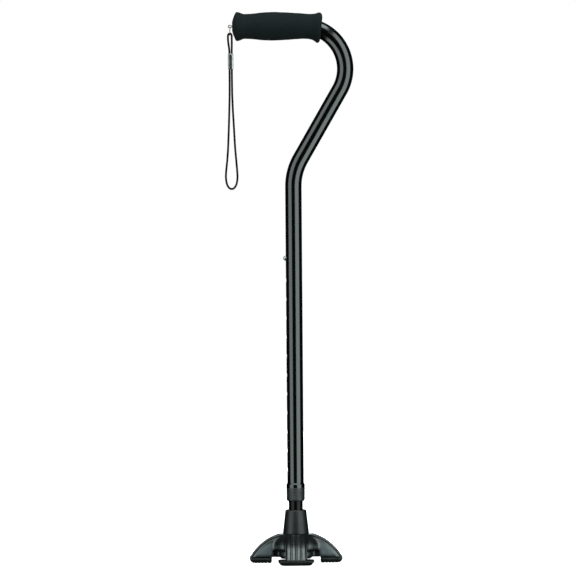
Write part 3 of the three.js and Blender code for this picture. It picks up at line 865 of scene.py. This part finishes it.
def foot_pad():
    height, inset = PAD_SHAPE[0]
    low = (PAD_INNER, -PAD_HALF_WIDTH)
    high = (PAD_OUTER, PAD_HALF_WIDTH)
    obj = rounded_block("foot_pad", low, high, 6.5 * MM, height * MM)
    scale = pad_scale(inset)
    pivot = (PAD_PIVOT_X, 0, 0)
    bpy.ops.transform.resize(value=(*scale, 1), center_override=pivot)
    for next_height, next_inset in PAD_SHAPE[1:]:
        step = (0, 0, (next_height - height) * MM)
        bpy.ops.mesh.extrude_region_move(TRANSFORM_OT_translate={"value": step})
        next_scale = pad_scale(next_inset)
        ratio = (next_scale[0] / scale[0], next_scale[1] / scale[1], 1)
        bpy.ops.transform.resize(value=ratio, center_override=pivot)
        height, scale = next_height, next_scale
    leave_edit()
    return outward(obj)


def groove(x):
    obj = rounded_block("groove", (x - 0.7 * MM, -30 * MM), (x + 0.7 * MM, 30 * MM), 0.2 * MM, 0.9 * MM)
    bpy.ops.mesh.extrude_region_move(TRANSFORM_OT_translate={"value": (0, 0, -3 * MM)})
    leave_edit()
    return outward(obj)


first_pad = foot_pad()
grooves = join([groove(PAD_INNER + (6 + 4.4 * i) * MM) for i in range(GROOVES)], "grooves")
cut(first_pad, grooves)
smooth(first_pad, 40)
pads = {}
for quarters, side in enumerate(("right", "back", "left", "front")):
    pads[side] = quarter_turn(copy_of(first_pad, "tread_pad_" + side), quarters)
bpy.data.objects.remove(first_pad)
print("pads:", sorted(pads))

# %% [markdown]
# ## Each piece's body and finish
# A piece moves with the CAD body that it rides on, and it hides the CAD node that it stands for.
# The table says both, and which finish the piece takes.

# %% Riding and replacing
PIECES = [
    (tube_piece, "handle", "tube_black", ["handle_tube"]),
    (grip_piece, "handle", "grip_foam", ["foam_grip"]),
    (eye_screw, "handle", "bright_metal", ["strap_eye_screw"]),
    (ring_wire, "ring", "bright_metal", ["strap_ring"]),
    (ferrule_piece, "strap", "bright_metal", ["strap_ferrule"]),
    (tether, "strap", "strap_cord", ["strap_tether_loop"]),
    (wrist, "strap", "strap_cord", ["wrist_loop"]),
    (lower_piece, "base", "tube_black", ["lower_tube"]),
    (button_piece, "button", "bright_metal", ["snap_button"]),
    (ring_piece, "collar", "moulded_plastic", ["lock_ring"]),
    (cone_piece, "base", "tip_rubber", ["tip_sleeve"]),
    (base_piece, "base", "tip_rubber", ["quad_base"]),
] + [(pad, "base", "pad_rubber", ["foot_pad_" + side]) for side, pad in pads.items()]
for piece, body, finish_name, nodes in PIECES:
    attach(piece, body)
    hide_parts(*nodes)
print(len(PIECES), "pieces ride on their bodies")

# %% [markdown]
# ## Shared effects, as node groups
# Several finishes need the same effects: a moulded grain, wiped-off dust, and fine scratches. Each
# is built once as a node group with named inputs and outputs, and every material sets its own
# values. The groups give out only heights, masks and colours. The shader stays in the material.

# %% Node helpers
def new_group(name, inputs, outputs):
    group = bpy.data.node_groups.new(name, "ShaderNodeTree")
    for label, kind, value in inputs:
        socket_made = group.interface.new_socket(name=label, in_out="INPUT", socket_type=kind)
        socket_made.default_value = value
    for label, kind in outputs:
        group.interface.new_socket(name=label, in_out="OUTPUT", socket_type=kind)
    return group, group.nodes.new("NodeGroupInput"), group.nodes.new("NodeGroupOutput")


def node(tree, kind, links=None, **settings):
    """Adds a node. Links give its inputs a socket or a plain value, by the input's name or number."""
    made = tree.nodes.new("ShaderNode" + kind)
    for name, value in settings.items():
        setattr(made, name, value)
    for name, value in (links or {}).items():
        if isinstance(value, bpy.types.NodeSocket):
            tree.links.new(value, made.inputs[name])
        else:
            made.inputs[name].default_value = value
    return made


def ramp(tree, value, stops):
    made = node(tree, "ValToRGB", {0: value})
    elements = made.color_ramp.elements
    elements[0].position, elements[0].color = stops[0][0], stops[0][1]
    elements[1].position, elements[1].color = stops[-1][0], stops[-1][1]
    for position, colour in stops[1:-1]:
        elements.new(position).color = colour
    return made.outputs["Color"]


def grey(value):
    return (value, value, value, 1)


def math_node(tree, operation, a, b=0.0, c=0.0):
    return node(tree, "Math", {0: a, 1: b, 2: c}, operation=operation).outputs[0]


def mixed(tree, factor, a, b, blend_type="MIX"):
    made = node(tree, "Mix", {0: factor}, data_type="RGBA", blend_type=blend_type)
    for number, value in ((6, a), (7, b)):
        if isinstance(value, bpy.types.NodeSocket):
            tree.links.new(value, made.inputs[number])
        else:
            made.inputs[number].default_value = value
    return made.outputs[2]


FLOAT = "NodeSocketFloat"
COLOUR = "NodeSocketColor"
VECTOR = "NodeSocketVector"

# %% Moulded grain: the fine leathery skin of a rubber or plastic moulding
grain_group, grain_in, grain_out = new_group(
    "Moulded grain", [("Place", VECTOR, (0, 0, 0)), ("Scale", FLOAT, 1400.0), ("Waviness", FLOAT, 0.4)],
    [("Height", FLOAT), ("Tone", FLOAT)])
fine = node(grain_group, "TexNoise", {"Vector": grain_in.outputs["Place"], "Detail": 3.0,
                                      "Scale": grain_in.outputs["Scale"], "Roughness": 0.6})
wave_scale = math_node(grain_group, "MULTIPLY", grain_in.outputs["Scale"], 0.07)
waves = node(grain_group, "TexNoise", {"Vector": grain_in.outputs["Place"], "Scale": wave_scale,
                                       "Detail": 2.0})
height = math_node(grain_group, "MULTIPLY_ADD", waves.outputs["Fac"], grain_in.outputs["Waviness"],
                   fine.outputs["Fac"])
grain_group.links.new(height, grain_out.inputs["Height"])
grain_group.links.new(waves.outputs["Fac"], grain_out.inputs["Tone"])

# %% Dust: pale dust in soft patches, thicker towards the floor
dust_group, dust_in, dust_out = new_group(
    "Dust", [("Place", VECTOR, (0, 0, 0)), ("Colour", COLOUR, grey(0.02)),
             ("Dust colour", COLOUR, grey(0.2)), ("Amount", FLOAT, 0.1), ("Floor reach", FLOAT, 0.02)],
    [("Colour", COLOUR), ("Mask", FLOAT)])
patches = node(dust_group, "TexNoise", {"Vector": dust_in.outputs["Place"], "Scale": 55.0, "Detail": 6.0,
                                        "Roughness": 0.65})
patch_mask = node(dust_group, "MapRange", {"Value": patches.outputs["Fac"], "From Min": 0.42,
                                           "From Max": 0.75})
height_of = node(dust_group, "SeparateXYZ", {"Vector": dust_in.outputs["Place"]})
low_down = math_node(dust_group, "DIVIDE", height_of.outputs["Z"], dust_in.outputs["Floor reach"])
near_floor = node(dust_group, "MapRange", {"Value": low_down, "From Min": 0.0, "From Max": 1.0,
                                           "To Min": 1.0, "To Max": 0.3})
strength = math_node(dust_group, "MULTIPLY", patch_mask.outputs[0], near_floor.outputs[0])
mask = math_node(dust_group, "MULTIPLY", strength, dust_in.outputs["Amount"])
dusty = mixed(dust_group, mask, dust_in.outputs["Colour"], dust_in.outputs["Dust colour"])
dust_group.links.new(dusty, dust_out.inputs["Colour"])
dust_group.links.new(mask, dust_out.inputs["Mask"])

# %% Fine scratches: thin hairlines, stretched along the piece
scratch_group, scratch_in, scratch_out = new_group(
    "Fine scratches", [("Place", VECTOR, (0, 0, 0)), ("Stretch", VECTOR, (900.0, 900.0, 12.0)),
                       ("Roughness", FLOAT, 0.2), ("Spread", FLOAT, 0.1)],
    [("Roughness", FLOAT), ("Height", FLOAT)])
stretched = node(scratch_group, "VectorMath", operation="MULTIPLY",
                 links={0: scratch_in.outputs["Place"], 1: scratch_in.outputs["Stretch"]})
hairs = node(scratch_group, "TexNoise", {"Vector": stretched.outputs[0], "Scale": 1.0, "Detail": 4.0,
                                         "Roughness": 0.7})
hair_mask = node(scratch_group, "MapRange", {"Value": hairs.outputs["Fac"], "From Min": 0.5,
                                             "From Max": 0.78})
rough = math_node(scratch_group, "MULTIPLY_ADD", hair_mask.outputs[0], scratch_in.outputs["Spread"],
                  scratch_in.outputs["Roughness"])
scratch_group.links.new(rough, scratch_out.inputs["Roughness"])
scratch_group.links.new(hair_mask.outputs[0], scratch_out.inputs["Height"])


# %% A material with its shader and its place on the object
def use_group(tree, group, **inputs):
    made = tree.nodes.new("ShaderNodeGroup")
    made.node_tree = group
    for name, value in inputs.items():
        label = name.replace("_", " ").capitalize()
        if isinstance(value, bpy.types.NodeSocket):
            tree.links.new(value, made.inputs[label])
        else:
            made.inputs[label].default_value = value
    return made.outputs


def new_material(name, roughness, specular=0.5, coat=0.0, coat_roughness=0.05, metallic=0.0, sheen=0.0):
    material = bpy.data.materials.new(name)
    material.use_nodes = True
    tree = material.node_tree
    shader = tree.nodes["Principled BSDF"]
    shader.inputs["Roughness"].default_value = roughness
    shader.inputs["Specular IOR Level"].default_value = specular
    shader.inputs["Coat Weight"].default_value = coat
    shader.inputs["Coat Roughness"].default_value = coat_roughness
    shader.inputs["Metallic"].default_value = metallic
    shader.inputs["Sheen Weight"].default_value = sheen
    place = tree.nodes.new("ShaderNodeTexCoord").outputs["Object"]
    return material, tree, shader, place


def bump(tree, shader, height, distance, strength=1.0):
    made = node(tree, "Bump", {"Height": height, "Distance": distance, "Strength": strength})
    tree.links.new(made.outputs["Normal"], shader.inputs["Normal"])

# %% [markdown]
# ## Black paint on the tubes
# The handle tube is coated in gloss black. Gloss paint on metal is never perfectly flat: a faint
# orange peel bends the edges of its reflections, and hairline scratches dull it in places. The
# lower tube slides inside the other one, so its coat is duller, with long rubbed streaks, and its
# reflections are turned far down as painted shade, for the short stretch that shows in the shade
# between the collar and the cone.

# %% Paint
def paint(name, roughness, spread, peel, colour, specular=0.5):
    material, tree, shader, place = new_material(name, roughness, specular=specular)
    scratches = use_group(tree, scratch_group, place=place, roughness=roughness, spread=spread)
    peel_noise = node(tree, "TexNoise", {"Vector": place, "Scale": 420.0, "Detail": 1.0})
    tint = node(tree, "TexNoise", {"Vector": place, "Scale": 30.0, "Detail": 3.0})
    shade = ramp(tree, tint.outputs["Fac"], [(0.3, colour), (0.75, [c * 1.5 for c in colour[:3]] + [1])])
    tree.links.new(shade, shader.inputs["Base Color"])
    tree.links.new(scratches["Roughness"], shader.inputs["Roughness"])
    bump(tree, shader, peel_noise.outputs["Fac"], peel)
    return material


gloss_black = paint("gloss_black_paint", 0.14, 0.05, 0.0012 * MM, (0.0004, 0.0005, 0.0005, 1))
# Painted shade: the lower tube's paint reflects far less, for the shade it shows in between the collar and
# the cone.
rubbed_shaded_black = paint("rubbed_shaded_black_paint", 0.22, 0.1, 0.002 * MM, (0.0004, 0.0005, 0.0005, 1), 0.1)

# %% [markdown]
# ## Foam
# The foam is a dull blue-grey black. Its skin is pitted with cells about half a millimetre wide.
# The pits are painted darker than the skin between them, as painted shade in their hollows, and the skin's
# roughness varies in soft blotches.

# %% Foam cells
foam, tree, shader, place = new_material("grip_foam_skin", 0.9, specular=0.06, sheen=0.012)
shader.inputs["Sheen Roughness"].default_value = 0.6
wobble = node(tree, "TexNoise", {"Vector": place, "Scale": 500.0, "Detail": 2.0})
wobbly = node(tree, "VectorMath", {0: wobble.outputs["Color"], 1: (0.0008, 0.0008, 0.0008)},
              operation="MULTIPLY")
cell_place = node(tree, "VectorMath", {0: place, 1: wobbly.outputs[0]}, operation="ADD")
cells = node(tree, "TexVoronoi", {"Vector": cell_place.outputs[0], "Scale": 950.0}, feature="F1")
pits = node(tree, "MapRange", {"Value": cells.outputs["Distance"], "From Min": 0.1, "From Max": 0.6})
crumbs = node(tree, "TexNoise", {"Vector": place, "Scale": 2600.0, "Detail": 3.0})
foam_height = math_node(tree, "MULTIPLY_ADD", crumbs.outputs["Fac"], 0.5, pits.outputs[0])
blotches = node(tree, "TexNoise", {"Vector": place, "Scale": 70.0, "Detail": 4.0})
skin = ramp(tree, blotches.outputs["Fac"], [(0.3, (0.0024, 0.0038, 0.0041, 1)),
                                            (0.7, (0.0040, 0.0060, 0.0064, 1))])
# Painted shade: the pits are painted darker than the skin between them, for the shade in their hollows.
pit_shade_share = math_node(tree, "MULTIPLY_ADD", pits.outputs[0], -0.45, 0.45)
foam_colour = mixed(tree, pit_shade_share, skin, (0.0008, 0.0013, 0.0014, 1))
tree.links.new(foam_colour, shader.inputs["Base Color"])
foam_rough = node(tree, "MapRange", {"Value": blotches.outputs["Fac"], "From Min": 0.3, "From Max": 0.7,
                                     "To Min": 0.78, "To Max": 0.95})
tree.links.new(foam_rough.outputs[0], shader.inputs["Roughness"])
bump(tree, shader, foam_height, 0.12 * MM)

# %% [markdown]
# ## Rubber and plastic
# The base and its cone are satin rubber with a fine grain from the mould. The lobes' upright side
# faces are painted a paler, coarser tone as painted light, where the front light falls on them; it
# is laid on by how steep a face is, how high it is and how far it is from the shaft. The pads are
# duller rubber. The lock ring is a harder, matt plastic.

# %% Moulded finishes
def moulded(name, colour, roughness, scale, depth, dust, dust_reach, specular=0.5, lit_side_colour=None):
    material, tree, shader, place = new_material(name, roughness, specular=specular)
    grain = use_group(tree, grain_group, place=place, scale=scale)
    dusted = use_group(tree, dust_group, place=place, colour=colour, dust_colour=grey(0.12), amount=dust,
                       floor_reach=dust_reach)
    toned = mixed(tree, grain["Tone"], dusted["Colour"], grey(0.0), "MULTIPLY")
    blended = mixed(tree, 0.35, dusted["Colour"], toned)
    if lit_side_colour:
        # Painted light: steep faces above about a centimetre and away from the shaft are painted paler,
        # where the front light falls on the lobes' sides.
        facing = node(tree, "SeparateXYZ", {"Vector": place.node.outputs["Normal"]})
        tilt = math_node(tree, "ABSOLUTE", facing.outputs["Z"])
        upright = node(tree, "MapRange", {"Value": tilt, "From Min": 0.12, "From Max": 0.3,
                                          "To Min": 1.0, "To Max": 0.0})
        low = node(tree, "MapRange", {"Value": node(tree, "SeparateXYZ", {"Vector": place}).outputs["Z"],
                                      "From Min": 0.008, "From Max": 0.012})
        flat_place = node(tree, "VectorMath", {0: place, 1: (1.0, 1.0, 0.0)}, operation="MULTIPLY")
        distance = node(tree, "VectorMath", {0: flat_place.outputs[0]}, operation="LENGTH").outputs["Value"]
        outer = node(tree, "MapRange", {"Value": distance, "From Min": 0.032, "From Max": 0.037})
        lit_side_mask = math_node(tree, "MULTIPLY", upright.outputs[0], low.outputs[0])
        lit_side_mask = math_node(tree, "MULTIPLY", lit_side_mask, outer.outputs[0])
        speckle = ramp(tree, grain["Height"], [(0.45, [c * 0.7 for c in lit_side_colour[:3]] + [1]),
                                               (0.9, [c * 1.3 for c in lit_side_colour[:3]] + [1])])
        blended = mixed(tree, lit_side_mask, blended, speckle)
    tree.links.new(blended, shader.inputs["Base Color"])
    rough_base = node(tree, "MapRange", {"Value": grain["Tone"], "From Min": 0.3, "From Max": 0.7,
                                         "To Min": roughness - 0.05, "To Max": roughness + 0.05})
    dull = math_node(tree, "MULTIPLY_ADD", dusted["Mask"], 0.5, rough_base.outputs[0])
    tree.links.new(dull, shader.inputs["Roughness"])
    bump(tree, shader, grain["Height"], depth)
    return material


# The satin rubber's paler side colour is painted light on the lobes' upright faces.
base_rubber = moulded("satin_rubber", (0.0028, 0.0034, 0.0036, 1), 0.3, 1500.0, 0.008 * MM, 0.05, 0.02,
                      lit_side_colour=(0.055, 0.064, 0.067, 1))
cone_rubber = moulded("cone_rubber", (0.003, 0.0034, 0.0036, 1), 0.42, 1500.0, 0.012 * MM, 0.05, 0.02, 0.28)
pad_rubber = moulded("pad_rubber", (0.003, 0.0034, 0.0035, 1), 0.5, 900.0, 0.02 * MM, 0.06, 0.006, 0.25)
ring_plastic = moulded("matt_plastic", (0.006, 0.0068, 0.007, 1), 0.42, 1800.0, 0.012 * MM, 0.03, 0.02)

# %% [markdown]
# ## Metal
# The strap's fittings and the button are nickel-plated steel, bright and finely scratched. The
# leaf spring and the washer inside the tubes are plain steel, duller and slightly mottled.

# %% Plated and plain steel
def steel(name, colour, roughness, spread, stretch):
    material, tree, shader, place = new_material(name, roughness, metallic=1.0)
    scratches = use_group(tree, scratch_group, place=place, stretch=stretch, roughness=roughness,
                          spread=spread)
    mottle = node(tree, "TexNoise", {"Vector": place, "Scale": 260.0, "Detail": 4.0})
    dark = [c * 0.78 for c in colour[:3]] + [1]
    shade = ramp(tree, mottle.outputs["Fac"], [(0.35, dark), (0.65, colour)])
    tree.links.new(shade, shader.inputs["Base Color"])
    tree.links.new(scratches["Roughness"], shader.inputs["Roughness"])
    bump(tree, shader, scratches["Height"], 0.0015 * MM)
    return material


plated = steel("nickel_plate", (0.27, 0.27, 0.265, 1), 0.24, 0.1, (1500.0, 1500.0, 300.0))
spring_steel = steel("spring_steel", (0.42, 0.42, 0.43, 1), 0.32, 0.25, (900.0, 900.0, 60.0))

# %% [markdown]
# ## Braided cord
# The cord's pattern follows its UV map: one count across is a turn round the cord, and up is the
# distance along it. Strands that lie lower are in shade, and each strand is made of fine yarn.

# %% Cord material
cord_finish, tree, shader, place = new_material("braided_cord", 0.62, specular=0.05, sheen=0.0)
uv = node(tree, "UVMap", uv_map="cord")
parts = node(tree, "SeparateXYZ", {"Vector": uv.outputs["UV"]})
rise = math_node(tree, "MULTIPLY", parts.outputs["Y"], STRANDS / BRAID_PITCH)
round_about = math_node(tree, "MULTIPLY", parts.outputs["X"], float(STRANDS))


def strand(direction):
    turns_made = math_node(tree, direction, round_about, rise)
    return math_node(tree, "SINE", math_node(tree, "MULTIPLY", turns_made, pi))


left_strand = strand("ADD")
right_strand = strand("SUBTRACT")
crossing = math_node(tree, "GREATER_THAN", math_node(tree, "MULTIPLY", left_strand, right_strand), 0.0)
over_left = math_node(tree, "MULTIPLY", math_node(tree, "ABSOLUTE", left_strand), crossing)
under = math_node(tree, "SUBTRACT", 1.0, crossing)
over_right = math_node(tree, "MULTIPLY", math_node(tree, "ABSOLUTE", right_strand), under)
strand_height = math_node(tree, "ADD", over_left, over_right)
yarn = node(tree, "TexNoise", {"Vector": place, "Scale": 5200.0, "Detail": 2.0})
cord_height = math_node(tree, "MULTIPLY_ADD", yarn.outputs["Fac"], 0.35, strand_height)
cord_colour = ramp(tree, strand_height, [(0.1, (0.0005, 0.0006, 0.0006, 1)),
                                         (0.9, (0.0016, 0.0019, 0.0020, 1))])
tree.links.new(cord_colour, shader.inputs["Base Color"])
fuzz = node(tree, "MapRange", {"Value": yarn.outputs["Fac"], "To Min": 0.5, "To Max": 0.75})
tree.links.new(fuzz.outputs[0], shader.inputs["Roughness"])
bump(tree, shader, cord_height, 0.05 * MM)

# %% [markdown]
# ## Finishes on the pieces
# A piece takes its material here. The CAD nodes that are kept are the ones inside the tubes, and
# they get their finish through their own slots.

# %% Assigning materials
FINISH = {
    tube_piece: gloss_black, lower_piece: rubbed_shaded_black, grip_piece: foam, eye_screw: plated,
    ring_wire: plated, ferrule_piece: plated, button_piece: plated, tether: cord_finish,
    wrist: cord_finish, ring_piece: ring_plastic, cone_piece: cone_rubber, base_piece: base_rubber,
}
FINISH.update({pad: pad_rubber for pad in pads.values()})
for piece, material in FINISH.items():
    piece.data.materials.clear()
    piece.data.materials.append(material)
KEPT_NODES = {"handle_end_plug": ring_plastic, "guide_bush": ring_plastic, "collet_bushing": ring_plastic,
              "button_spring": spring_steel, "tip_washer": spring_steel}
for name, material in KEPT_NODES.items():
    for material_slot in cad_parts[name].material_slots:
        material_slot.material = material
print(len(FINISH) + len(KEPT_NODES), "pieces have a finish")

# %% [markdown]
# ## Light
# The cane stands at the end of a short tunnel of softboxes: one wall on the left, one on the right
# and one overhead. A gloss tube shows each wall as one long band, and the gaps between them, where
# the camera looks through and where the tunnel ends, stay black. That is what makes the tube look
# round. A fourth, weaker softbox stands behind for the far side. The camera sees none of them, and
# their light is faintly green-blue.

# %% Softboxes
STAGE_MIDDLE = 0.4
LIGHT_TINT = (0.87, 1.0, 0.985)


def softbox(name, centre, facing, width, height, radiance):
    """A lit panel. Its power follows from its area, so that radiance is how bright it looks."""
    data = bpy.data.lights.new(name, "AREA")
    data.shape = "RECTANGLE"
    data.size = width
    data.size_y = height
    data.energy = radiance * pi * width * height
    data.color = LIGHT_TINT
    obj = bpy.data.objects.new(name, data)
    bpy.context.scene.collection.objects.link(obj)
    obj.location = centre
    obj.rotation_euler = Vector(facing).to_track_quat("-Z", "Y").to_euler()
    obj.visible_camera = False
    return obj


WALL_X = 1.6
WALL_END_Y = -0.45
LEFT_START_Y = -3.0
RIGHT_START_Y = -4.17
WALL_BOTTOM = -1.2
WALL_TOP = 2.5
TOP_HEIGHT = 2.5
TOP_HALF_WIDTH = 1.15
TOP_START_Y = -2.2
TOP_END_Y = 0.1
BACK_Y = 2.5
BACK_SIDE = 1.6
LEFT_RADIANCE = 3.5
RIGHT_RADIANCE = 4.6
TOP_RADIANCE = 6.5
BACK_RADIANCE = 1.5


def wall(name, x, start_y, radiance):
    middle = (x, (start_y + WALL_END_Y) / 2, (WALL_BOTTOM + WALL_TOP) / 2)
    return softbox(name, middle, (-x, 0, 0), WALL_END_Y - start_y, WALL_TOP - WALL_BOTTOM, radiance)


wall("left_softbox", -WALL_X, LEFT_START_Y, LEFT_RADIANCE)
wall("right_softbox", WALL_X, RIGHT_START_Y, RIGHT_RADIANCE)
softbox("top_softbox", (0, (TOP_START_Y + TOP_END_Y) / 2, TOP_HEIGHT), (0, 0, -1),
        2 * TOP_HALF_WIDTH, TOP_END_Y - TOP_START_Y, TOP_RADIANCE)
softbox("back_softbox", (0, BACK_Y, STAGE_MIDDLE), (0, -1, 0), BACK_SIDE, BACK_SIDE, BACK_RADIANCE)

# %% World
world = bpy.data.worlds.new("white_sweep")
bpy.context.scene.world = world
world.use_nodes = True
tree = world.node_tree
background = tree.nodes["Background"]
rays = tree.nodes.new("ShaderNodeLightPath")
AMBIENT = 0.012
shade = mixed(tree, rays.outputs["Is Camera Ray"], grey(AMBIENT), grey(1.0))
tree.links.new(shade, background.inputs["Color"])
bpy.context.scene.view_settings.view_transform = "Standard"

# %% [markdown]
# ## The floor
# The floor is plain white. It is hidden from reflections and from bounced light, so that the
# object's lower side stays dark.

# %% Floor
bpy.ops.object.select_all(action="DESELECT")
bpy.ops.mesh.primitive_plane_add(size=30, location=(0, 0, -0.2 * MM))
floor = bpy.context.object
floor.name = "white_floor"
settle(floor)
floor_white, tree, shader, place = new_material("floor_white", 0.9, specular=0.0)
speckle = node(tree, "TexNoise", {"Vector": place, "Scale": 8.0, "Detail": 2.0})
floor_colour = ramp(tree, speckle.outputs["Fac"], [(0.0, grey(0.86)), (1.0, grey(0.9))])
tree.links.new(floor_colour, shader.inputs["Base Color"])
shader.inputs["Emission Color"].default_value = grey(1.0)
shader.inputs["Emission Strength"].default_value = 1.0
floor.data.materials.append(floor_white)
floor.visible_glossy = False
floor.visible_diffuse = False
floor.visible_shadow = False
